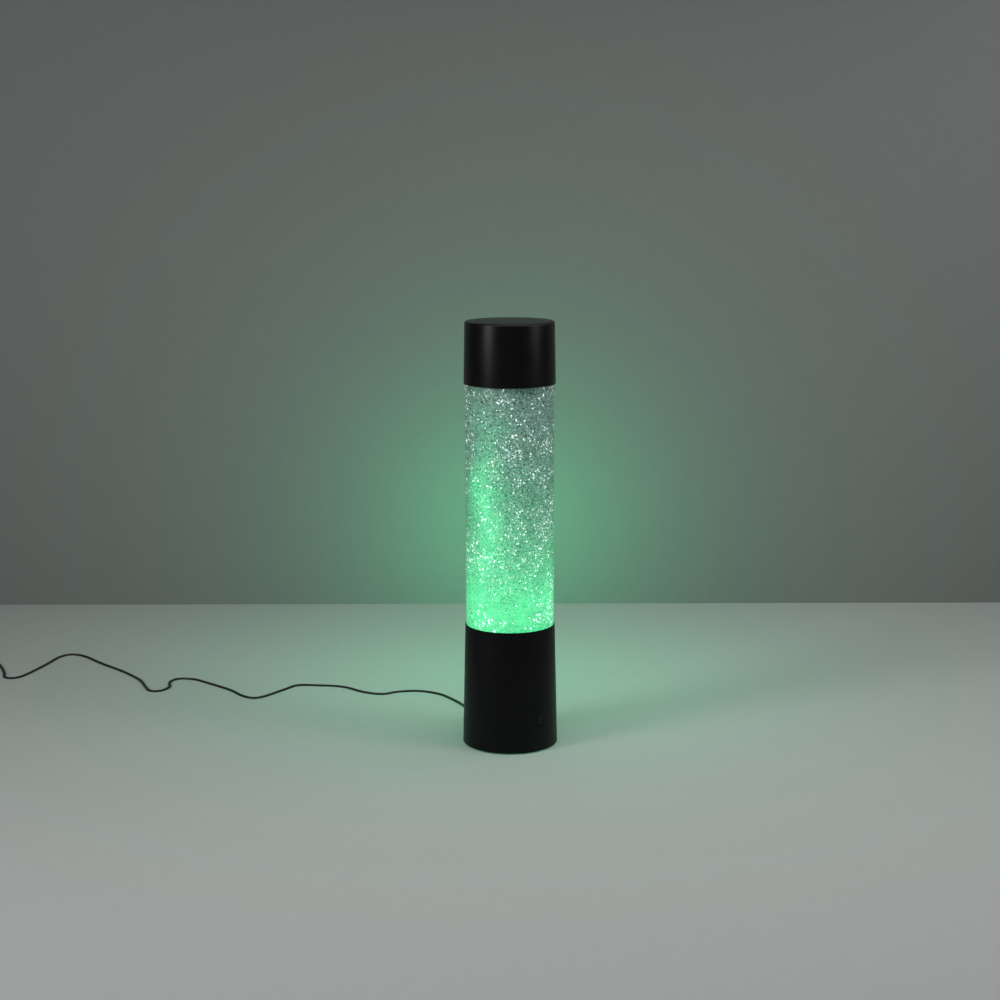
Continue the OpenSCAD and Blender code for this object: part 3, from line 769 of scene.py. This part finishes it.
def smooth_line(points, steps):
    """The CAD part's smooth curve through points, with a number of steps between them."""
    first, last = 2 * np.array(points[0]) - points[1], 2 * np.array(points[-1]) - points[-2]
    p = [first, *map(np.array, points), last]
    line = []
    for i in range(len(points) - 1):
        a, b, c, d = p[i:i + 4]
        for t in (k / steps for k in range(steps)):
            line.append(0.5 * (2 * b + (c - a) * t + (2 * a - 5 * b + 4 * c - d) * t * t
                               + (3 * b - a - 3 * c + d) * t ** 3))
    return [Vector(v) for v in line] + [Vector(points[-1])]


def coil_line(steps=44):
    """The wound part of the cord, turn by turn."""
    turns, radii, heights = zip(*COIL_TURNS)
    line = []
    for k in range(1, round(turns[-1] * steps)):
        turn = k / steps
        radius, height = (np.interp(turn, turns, values) * MM for values in (radii, heights))
        line.append(COIL_PLACE + around(radius, TURN * turn, height))
    return line


def cord_tree():
    """Geometry Nodes: a section carried along a curve, lying flat, with closed ends."""
    tree, given, output = tree_with("cord_along_path", {
        "Section": "Object", "Material": "Material", "Turned length": "Float",
        "Turn": "Float"})
    flat = add(tree, "GeometryNodeSetCurveNormal", {"Curve": given["Geometry"]}, mode="Z_UP")
    along = add(tree, "GeometryNodeSplineParameter").outputs["Length"]
    # the flat section is turned on edge at the gland, and lies down over a short length
    tilt = add(tree, "ShaderNodeMapRange", {
        "Value": along, "From Max": given["Turned length"], "To Min": given["Turn"],
        "To Max": 0.0}, interpolation_type="SMOOTHSTEP")
    tilted = add(tree, "GeometryNodeSetCurveTilt",
                 {"Curve": flat.outputs[0], "Tilt": tilt.outputs[0]})
    section = add(tree, "GeometryNodeObjectInfo", {"Object": given["Section"]})
    tube = add(tree, "GeometryNodeCurveToMesh", {
        "Curve": tilted.outputs[0], "Profile Curve": section.outputs["Geometry"],
        "Fill Caps": True})
    return end_tree(tree, output, tube.outputs[0], given["Material"])


def line_curve(name, points, cyclic=False):
    """A curve object of straight pieces through points."""
    data = bpy.data.curves.new(name, "CURVE")
    data.dimensions = "3D"
    spline = data.splines.new("POLY")
    spline.points.add(len(points) - 1)
    for point, place in zip(spline.points, points):
        point.co = (*place, 1)
    spline.use_cyclic_u = cyclic
    made = bpy.data.objects.new(name, data)
    bpy.context.scene.collection.objects.link(made)
    return made


def twin_section(cord):
    """The outline of two wires side by side in one jacket, with a groove between them."""
    wire_r = cord.thickness / 2
    apart = Vector((cord.width / 2 - wire_r, 0, 0))
    groove = math.radians(125)
    steps = 9
    outline = [
        side * (apart + around(wire_r, groove * (2 * k / steps - 1)))
        for side in (1, -1) for k in range(steps + 1)
    ]
    return line_curve("cord_section", outline, cyclic=True)


# ---------------------------------------------------------------- glitter


def flake_tree():
    """Geometry Nodes: flakes scattered in a ring of liquid, each with its own tone."""
    tree, given, output = tree_with("scattered_flakes", {
        "Flake": "Object", "Count": "Int", "Seed": "Int", "Inner radius": "Float",
        "Outer radius": "Float", "Low": "Float", "High": "Float", "Material": "Material"})

    def chance(low, high, salt, kind="FLOAT"):
        """Random values of a kind, with their own seed. Each kind has sockets of its own."""
        low_socket, result = (0, 0) if kind == "FLOAT_VECTOR" else (2, 1)
        return add(tree, "FunctionNodeRandomValue", {
            low_socket: low, low_socket + 1: high,
            "Seed": maths(tree, "ADD", given["Seed"], salt),
        }, data_type=kind).outputs[result]

    points = add(tree, "GeometryNodePoints", {"Count": given["Count"]})
    angle = chance(0.0, TURN, 1)
    radius = chance(given["Inner radius"], given["Outer radius"], 2)
    height = chance(given["Low"], given["High"], 3)
    place = add(tree, "ShaderNodeCombineXYZ", {
        "X": maths(tree, "MULTIPLY", radius, maths(tree, "COSINE", angle)),
        "Y": maths(tree, "MULTIPLY", radius, maths(tree, "SINE", angle)),
        "Z": height,
    }).outputs[0]
    placed = add(tree, "GeometryNodeSetPosition", {"Geometry": points.outputs[0],
                                                   "Position": place})
    flake = add(tree, "GeometryNodeObjectInfo", {"Object": given["Flake"]})
    # painted glints gather in clouds, and other clouds are darker
    band = add(tree, "ShaderNodeTexNoise", {
        "Vector": vector(tree, "MULTIPLY", place, (1.0, 1.0, 0.75)),
        "Scale": 1 / (20 * MM), "Detail": 1.0}).outputs["Fac"]
    shift = maths(tree, "MULTIPLY", maths(tree, "SUBTRACT", band, 0.5), 1.1)
    tone = maths(tree, "ADD", chance(0.0, 1.0, 6), shift, clamp=True)
    painted_glint = maths(tree, "GREATER_THAN", tone, PAINTED_GLINT_TONE)
    spread = add(tree, "GeometryNodeInstanceOnPoints", {
        "Points": placed.outputs[0], "Instance": flake.outputs["Geometry"],
        "Rotation": chance((0, 0, 0), (TURN,) * 3, 4, "FLOAT_VECTOR"),
        "Scale": maths(tree, "MULTIPLY_ADD", painted_glint, 0.35, chance(0.5, 1.2, 5)),
    })
    made = spread.outputs[0]
    for name, value in (("tone", tone), ("tint", chance(0.0, 1.0, 7))):
        made = add(tree, "GeometryNodeStoreNamedAttribute",
                   {"Geometry": made, "Name": name, "Value": value},
                   data_type="FLOAT", domain="INSTANCE").outputs[0]
    return end_tree(tree, output, made, given["Material"])


def flake_shape(radius):
    """One flake: a six-sided sheet with a slightly thicker middle, closed all round."""
    sides = 6
    bm = bmesh.new()
    rim = [bm.verts.new(around(radius, TURN * k / sides)) for k in range(sides)]
    for side in (1, -1):
        middle = bm.verts.new((0, 0, side * 0.02 * MM))
        for k in range(sides):
            pair = [rim[k], rim[(k + 1) % sides]]
            bm.faces.new([*pair[::side], middle])
    mesh = bpy.data.meshes.new("flake")
    bm.to_mesh(mesh)
    bm.free()
    return mesh


# ---------------------------------------------------------------- pieces


def base_r(z):
    """Outer radius of the base at a height."""
    return BASE_FOOT_R + (BASE_TOP_R - BASE_FOOT_R) * (z - BASE_FOOT) / (BASE_TOP - BASE_FOOT)


def make_base_shell(sizes, material):
    """The tapered shell with its ledge, screw posts, button bore and cord hole."""
    wall = sizes.base_wall
    socket = TUBE_R + 0.05 * MM
    under = LEDGE_Z - LEDGE_T
    inner = base_r(LEDGE_Z) - wall
    outline = rounded([
        (base_r(BASE_FOOT), BASE_FOOT, 0.5 * MM),
        (base_r(BASE_TOP), BASE_TOP, 0.2 * MM),
        (socket, BASE_TOP, 0.1 * MM),
        (socket, LEDGE_Z, 0),
        (LEDGE_R, LEDGE_Z, 0.3 * MM),
        (LEDGE_R, under, 0.3 * MM),
        (inner, under - (inner - LEDGE_R), 0),
        (base_r(BASE_FOOT) - wall, BASE_FOOT, 0.2 * MM),
    ])
    shell = turned("base_body", outline, sizes.segments, material)
    posts = bmesh.new()
    bores = bmesh.new()
    # each set of four posts: circle, then in millimetres its radius, foot and top, its rib's
    # start and end from the post's axis and width, and its screw hole's radius, foot and top
    for circle, radius, low, high, rib_start, rib_end, rib_w, hole_r, hole_low, hole_high in (
        (BOSS_CIRCLE, 3.5, 4, 16, 2, 7.6, 2, 1.5, 3, 15),
        (HANGER_CIRCLE, 3.2, 62, 74, 0, 4, 2.4, 1.3, 64, 80),
    ):
        for angle in (math.radians(45) + TURN * k / 4 for k in range(4)):
            add_rod(posts, radius * MM, radius * MM, around(circle, angle, low * MM),
                    around(circle, angle, high * MM), 40)
            add_block(posts, (circle + rib_start * MM, -rib_w / 2 * MM, low * MM),
                      (circle + rib_end * MM, rib_w / 2 * MM, high * MM), angle)
            add_rod(bores, hole_r * MM, hole_r * MM, around(circle, angle, hole_low * MM),
                    around(circle, angle, hole_high * MM), 32)
    combine(shell, posts, "UNION")
    bore_r = sizes.button_d / 2 + BUTTON_PLAY
    cord_hole_r = 3.5 * MM
    face = base_r(BUTTON_Z)
    past = 5 * MM
    add_rod(bores, bore_r, bore_r, (0, 0, BUTTON_Z), (0, -face - past, BUTTON_Z), 96)
    add_rod(bores, cord_hole_r, cord_hole_r, (0, 0, GLAND_Z), (0, face + past, GLAND_Z), 64)
    combine(shell, bores, "DIFFERENCE")
    # the bore's mouth is broken by a small bevel, cut by a cone that widens outwards
    mouth = bmesh.new()
    add_rod(mouth, bore_r - 0.2 * MM, bore_r + 0.5 * MM, (0, -face + 0.6 * MM, BUTTON_Z),
            (0, -face - 0.8 * MM, BUTTON_Z), 96)
    combine(shell, mouth, "DIFFERENCE")
    return stand_for(shell, "lamp", "base_plastic", "base_shell")


def make_button(sizes, material):
    """The push button: a dished face, a soft rim and a flange behind the wall."""
    face = base_r(BUTTON_Z) + BUTTON_PROUD
    radius = sizes.button_d / 2
    front = FLANGE_BACK + MM
    rim = 0.02 * MM
    dish = 0.35 * MM
    face_points = [(radius * k, face - dish * (1 - k * k) - rim, 0) for k in (0.7, 0.5, 0.25, 0)]
    outline = rounded([
        (0, FLANGE_BACK, 0), (FLANGE_R, FLANGE_BACK, 0.2 * MM), (FLANGE_R, front, 0.2 * MM),
        (radius, front, 0), (radius, face, 0.55 * MM), *face_points,
    ])
    to_front = Matrix.Translation((0, 0, BUTTON_Z)) @ Matrix.Rotation(math.radians(90), 4, "X")
    button = turned("button_cap", outline, 96, material, to_front)
    # the pocket for the switch's plunger
    pocket = bmesh.new()
    half = 1.55 * MM
    add_block(pocket, (-half, -FLANGE_BACK - 2 * MM, BUTTON_Z - half),
              (half, -FLANGE_BACK + MM, BUTTON_Z + half))
    combine(button, pocket, "DIFFERENCE")
    return stand_for(button, "button", "button_plastic", "push_button")


def make_cap(sizes, material):
    """The cap: a slightly tapered cup whose top edge is softly rounded."""
    rim_r = 38.5 * MM
    top_r = 37.6 * MM
    skirt = TUBE_R + 0.1 * MM
    hollow = TUBE_R - 2 * MM
    under = TOTAL_H - 2 * MM
    outline = rounded([
        (skirt, CAP_Z, 0.2 * MM), (rim_r, CAP_Z, 0.3 * MM), (top_r, TOTAL_H, sizes.cap_edge),
        (0, TOTAL_H, 0), (0, under, 0), (hollow, under, MM), (hollow, TUBE_TOP, 0.2 * MM),
        (skirt, TUBE_TOP, 0),
    ], steps=10)
    cap = turned("cap_body", outline, sizes.segments, material)
    return stand_for(cap, "cap", "cap_plastic", "top_cap")


def make_gland(material):
    """The strain relief: a flanged plug whose taper is ribbed so that it bends with the cord."""
    wall = base_r(GLAND_Z)
    start = wall + 3 * MM
    thick_r = 3.4 * MM
    thin_r = 2.1 * MM
    groove = 0.45 * MM
    count = 6
    pitch = (GLAND_END - MM - start) / count
    ribs = []
    for k in range(count):
        for share, depth in ((0.15, 0), (0.5, 0), (0.62, groove), (0.95, groove)):
            at = start + pitch * (k + share)
            taper = (thin_r - thick_r) * (at - start) / (GLAND_END - start)
            ribs.append((thick_r + taper - depth, at, 0.08 * MM))
    outline = rounded([
        (0, wall - 4.9 * MM, 0), (5 * MM, wall - 4.9 * MM, 0.4 * MM),
        (5 * MM, wall - 3 * MM, 0.2 * MM), (3.45 * MM, wall - 3 * MM, 0),
        (3.45 * MM, wall + 0.1 * MM, 0), (4.3 * MM, wall + 0.1 * MM, 0.2 * MM),
        (4.3 * MM, wall + 1.6 * MM, 0.4 * MM), (3.4 * MM, wall + 2.4 * MM, 0.2 * MM),
        *ribs, (1.9 * MM, GLAND_END, 0.3 * MM), (0, GLAND_END, 0),
    ], steps=3)
    to_rear = Matrix.Translation((0, 0, GLAND_Z)) @ Matrix.Rotation(math.radians(-90), 4, "X")
    gland = turned("cord_relief", outline, 64, material, to_rear)
    return stand_for(gland, "lamp", "rubber", "cord_gland")


def ring_tree():
    """Geometry Nodes: copies of one shape spaced round the Z axis."""
    tree, given, output = tree_with("copies_on_a_ring", {
        "Shape": "Object", "Count": "Int", "Radius": "Float", "Material": "Material"})
    circle = add(tree, "GeometryNodeMeshCircle",
                 {"Vertices": given["Count"], "Radius": given["Radius"]})
    shape = add(tree, "GeometryNodeObjectInfo", {"Object": given["Shape"]})
    copies = add(tree, "GeometryNodeInstanceOnPoints",
                 {"Points": circle.outputs[0], "Instance": shape.outputs["Geometry"]})
    return end_tree(tree, output, copies.outputs[0], given["Material"])


def make_feet(material):
    """Four rubber feet with a rounded edge and a shallow dish in each underside."""
    dish = 0.25 * MM
    outline = rounded([
        (0, dish, 0), (3.2 * MM, dish, 0.2 * MM), (3.7 * MM, 0, 0.2 * MM),
        (FOOT_R, 0, 0.45 * MM), (FOOT_R, FOOT_TOP, 0.1 * MM), (0, FOOT_TOP, 0),
    ])
    pad = turned("pad_shape", outline, 64)
    mesh = grow("feet", ring_tree(), {
        "Shape": pad, "Count": 4, "Radius": FOOT_CIRCLE, "Material": material})
    bpy.data.objects.remove(pad)
    return stand_for(link("feet", mesh), "lamp", "rubber", "foot_pads")


def make_tube(sizes, material):
    """The clear tube, polished at both ends."""
    bore = TUBE_R - sizes.tube_wall
    edge = 0.35 * MM
    outline = rounded([
        (bore, TUBE_Z, edge), (TUBE_R, TUBE_Z, edge), (TUBE_R, TUBE_TOP, edge),
        (bore, TUBE_TOP, edge),
    ])
    tube = turned("tube_wall", outline, sizes.segments, material)
    return stand_for(tube, "lamp", "clear_acrylic", "clear_tube")


def filled_tube(name, radius, low, top, roof, segments, material, *nodes):
    """A solid that fills the tube to a radius, with a clear pocket round the stirrer."""
    pocket = POCKET_R + (TUBE_R - radius) * 0.15
    outline = rounded([
        (radius, low, 0.2 * MM), (radius, top, 0.5 * MM), (0, top, 0), (0, roof, 0),
        (pocket, roof, 0.5 * MM), (pocket, low, 0),
    ])
    made = turned(name, outline, segments, material)
    return stand_for(made, "lamp", "glitter_liquid", *nodes)


def make_plug_grip(material):
    """The plug's moulded grip: it swells from the cord and has ribs for the fingers."""
    half_w, half_h = 8 * MM, 4 * MM
    count = 48
    square = 0.45           # a power below 1 flattens the sides of the oval section
    # shares of the full width and height at distances in millimetres from the cord's end
    sections = ((0, 0.42, 0.5), (1.2, 0.5, 0.56), (4, 0.72, 0.76), (8, 0.96, 0.97),
                (10, 1, 1), (25, 1, 1), (25.8, 0.97, 0.94), (26, 0.93, 0.88))
    bm = bmesh.new()
    rings = []
    for away, wide, tall in sections:
        ring = []
        for x, y, _ in (around(1, TURN * k / count) for k in range(count)):
            across = math.copysign(abs(x) ** square, x) * half_w * wide
            up = math.copysign(abs(y) ** square, y) * half_h * tall
            ring.append(bm.verts.new(PLUG_PLACE + Vector((across, -away * MM, up))))
        rings.append(ring)
    for low, high in zip(rings, rings[1:]):
        for k in range(count):
            after = (k + 1) % count
            bm.faces.new([low[k], low[after], high[after], high[k]])
    bm.faces.new(rings[0])
    bm.faces.new(rings[-1])
    bmesh.ops.recalc_face_normals(bm, faces=bm.faces)
    grip = link("plug_body", mesh_of(bm, "plug_body"), material)
    # the mouth for the metal shell, and four finger grooves above and below
    cuts = bmesh.new()
    low = PLUG_PLACE - Vector((PLUG_MOUTH.x / 2, GRIP_LONG + MM, PLUG_MOUTH.z / 2))
    add_block(cuts, low, low + PLUG_MOUTH)
    for k in range(4):
        for side in (1, -1):
            start = PLUG_PLACE + Vector((-5.5, -11.5 - 2.6 * k, side * 4.15)) * MM
            add_rod(cuts, 0.55 * MM, 0.55 * MM, start, start + Vector((11 * MM, 0, 0)), 20)
    combine(grip, cuts, "DIFFERENCE")
    return stand_for(grip, "lamp", "plug_plastic", "plug_grip")


# ---------------------------------------------------------------- operators


class GLITTERLAMP_OT_stage(bpy.types.Operator):
    """Make the camera, the floor, the wall and the lights"""

    bl_idname = "glitterlamp.stage"
    bl_label = "Stage"

    def execute(self, context):
        _, colours, _, stage = settings()
        make_camera(stage)
        make_lights(stage, colours, *make_backdrop(stage))
        return {"FINISHED"}


class GLITTERLAMP_OT_finishes(bpy.types.Operator):
    """Give every CAD piece the finish of its material slot"""

    bl_idname = "glitterlamp.finishes"
    bl_label = "Finishes"

    def execute(self, context):
        _, colours, _, _ = settings()
        made = cad_finishes(colours)
        made["base_plastic"] = moulded_abs("moulded_base_abs", colours.black_abs, 0.42, 0.14)
        made["cap_plastic"] = moulded_abs("moulded_cap_abs", colours.black_abs, 0.32, 0.27)
        made["button_plastic"] = moulded_abs("moulded_button_abs", colours.black_abs, 0.38, 0.16)
        made["glitter_liquid"] = clear_finish("glitter_carrier_liquid", linear("#fbfffd"), 1.36,
                                              0.0, 30 * MM, 0.0)
        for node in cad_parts.values():
            for held in node.material_slots:
                held.material = made[held.material.name]
        for slot, material in made.items():
            material["slot"] = slot
        return {"FINISHED"}


def finish_of(slot):
    """The finish made for a material slot."""
    return next(m for m in bpy.data.materials if m.get("slot") == slot)


class GLITTERLAMP_OT_cord(bpy.types.Operator):
    """Lay the supply cord from its gland to its plug, the spare length in a coil"""

    bl_idname = "glitterlamp.cord"
    bl_label = "Supply cord"

    def execute(self, context):
        _, _, cord, _ = settings()
        gland = make_gland(finish_of("rubber"))
        plug = make_plug_grip(finish_of("plug_plastic"))
        line = smooth_line(CORD_ROUTE, 4) + coil_line() + smooth_line(TAIL_ROUTE, 4)
        section = twin_section(cord)
        mesh = grow("cord_path", cord_tree(), {
            "Section": section, "Material": finish_of("cord_jacket"),
            "Turned length": 80 * MM, "Turn": math.radians(70)}, line_curve("cord_path", line))
        bpy.data.objects.remove(section)
        bm = bmesh.new()
        bm.from_mesh(mesh)
        bmesh.ops.recalc_face_normals(bm, faces=bm.faces)
        bm.to_mesh(mesh)
        bm.free()
        # only the cord's cut ends and the groove between its wires stay sharp
        made = link("cord_lead", shade(mesh, math.radians(50)))
        stand_for(made, "lamp", "cord_jacket", "supply_cord", "cord_coil", "cord_tail")
        return {"FINISHED"}


class GLITTERLAMP_OT_base(bpy.types.Operator):
    """Make the base shell and its feet"""

    bl_idname = "glitterlamp.base"
    bl_label = "Base"

    def execute(self, context):
        sizes, _, _, _ = settings()
        make_base_shell(sizes, finish_of("base_plastic"))
        make_feet(finish_of("rubber"))
        return {"FINISHED"}


class GLITTERLAMP_OT_button(bpy.types.Operator):
    """Make the push button"""

    bl_idname = "glitterlamp.button"
    bl_label = "Push button"

    def execute(self, context):
        sizes, _, _, _ = settings()
        make_button(sizes, finish_of("button_plastic"))
        return {"FINISHED"}


class GLITTERLAMP_OT_tube(bpy.types.Operator):
    """Make the clear tube"""

    bl_idname = "glitterlamp.tube"
    bl_label = "Tube"

    def execute(self, context):
        sizes, _, _, _ = settings()
        make_tube(sizes, finish_of("clear_acrylic"))
        return {"FINISHED"}


class GLITTERLAMP_OT_liquid(bpy.types.Operator):
    """Fill the tube with liquid and glitter"""

    bl_idname = "glitterlamp.liquid"
    bl_label = "Liquid and glitter"

    def execute(self, context):
        sizes, colours, _, _ = settings()
        bore = TUBE_R - sizes.tube_wall
        # the liquid overlaps the tube's wall a hair, so that no film of air shows between them
        filled_tube("liquid_body", bore + 0.02 * MM, LIQUID_Z, LIQUID_TOP, PIN_TOP + 0.9 * MM,
                    sizes.segments, finish_of("glitter_liquid"), "liquid")
        cloud_r = bore - sizes.cloud_gap
        filled_tube("glitter_cloud", cloud_r, LIQUID_Z + 0.5 * MM, LIQUID_TOP - 0.6 * MM,
                    PIN_TOP + 1.6 * MM, sizes.segments,
                    glitter_cloud_finish(colours, sizes.grain))
        shape = link("flake_shape", flake_shape(sizes.flake_r))
        reach = 1.5 * sizes.flake_r
        mesh = grow("glitter_flakes", flake_tree(), {
            "Flake": shape, "Count": sizes.flakes, "Seed": 11,
            "Inner radius": cloud_r, "Outer radius": bore - reach,
            "Low": LIQUID_Z + reach, "High": LIQUID_TOP - reach,
            "Material": flake_finish(colours)})
        bpy.data.objects.remove(shape)
        stand_for(link("glitter_flakes", mesh), "lamp", "glitter_liquid")
        return {"FINISHED"}


class GLITTERLAMP_OT_cap(bpy.types.Operator):
    """Make the cap"""

    bl_idname = "glitterlamp.cap"
    bl_label = "Cap"

    def execute(self, context):
        sizes, _, _, _ = settings()
        make_cap(sizes, finish_of("cap_plastic"))
        return {"FINISHED"}


OPERATORS = (
    GLITTERLAMP_OT_stage, GLITTERLAMP_OT_finishes, GLITTERLAMP_OT_cord, GLITTERLAMP_OT_base,
    GLITTERLAMP_OT_button, GLITTERLAMP_OT_tube, GLITTERLAMP_OT_liquid, GLITTERLAMP_OT_cap,
)
GROUPS = {
    "lamp_sizes": LampSizes, "lamp_colours": LampColours, "cord_sizes": CordSizes,
    "stage_sizes": StageSizes,
}


class GLITTERLAMP_PT_panel(bpy.types.Panel):
    """Lists the lamp's pieces and settings"""

    bl_label = "Glitter lamp"
    bl_space_type = "VIEW_3D"
    bl_region_type = "UI"
    bl_category = "Lamp"

    def draw(self, context):
        for operator in OPERATORS:
            self.layout.operator(operator.bl_idname)
        for group in GROUPS:
            held = getattr(context.scene, group)
            for name in held.__annotations__:
                self.layout.prop(held, name)


def register():
    for group in GROUPS.values():
        bpy.utils.register_class(group)
    for name, group in GROUPS.items():
        setattr(bpy.types.Scene, name, bpy.props.PointerProperty(type=group))
    for made in (*OPERATORS, GLITTERLAMP_PT_panel):
        bpy.utils.register_class(made)


def unregister():
    for made in (GLITTERLAMP_PT_panel, *reversed(OPERATORS)):
        bpy.utils.unregister_class(made)
    for name in GROUPS:
        delattr(bpy.types.Scene, name)
    for group in reversed(GROUPS.values()):
        bpy.utils.unregister_class(group)


def main():
    register()
    bpy.ops.glitterlamp.stage()
    bpy.ops.glitterlamp.finishes()
    bpy.ops.glitterlamp.cord()
    bpy.ops.glitterlamp.base()
    bpy.ops.glitterlamp.button()
    bpy.ops.glitterlamp.tube()
    bpy.ops.glitterlamp.liquid()
    bpy.ops.glitterlamp.cap()


if __name__ == "__main__":
    main()
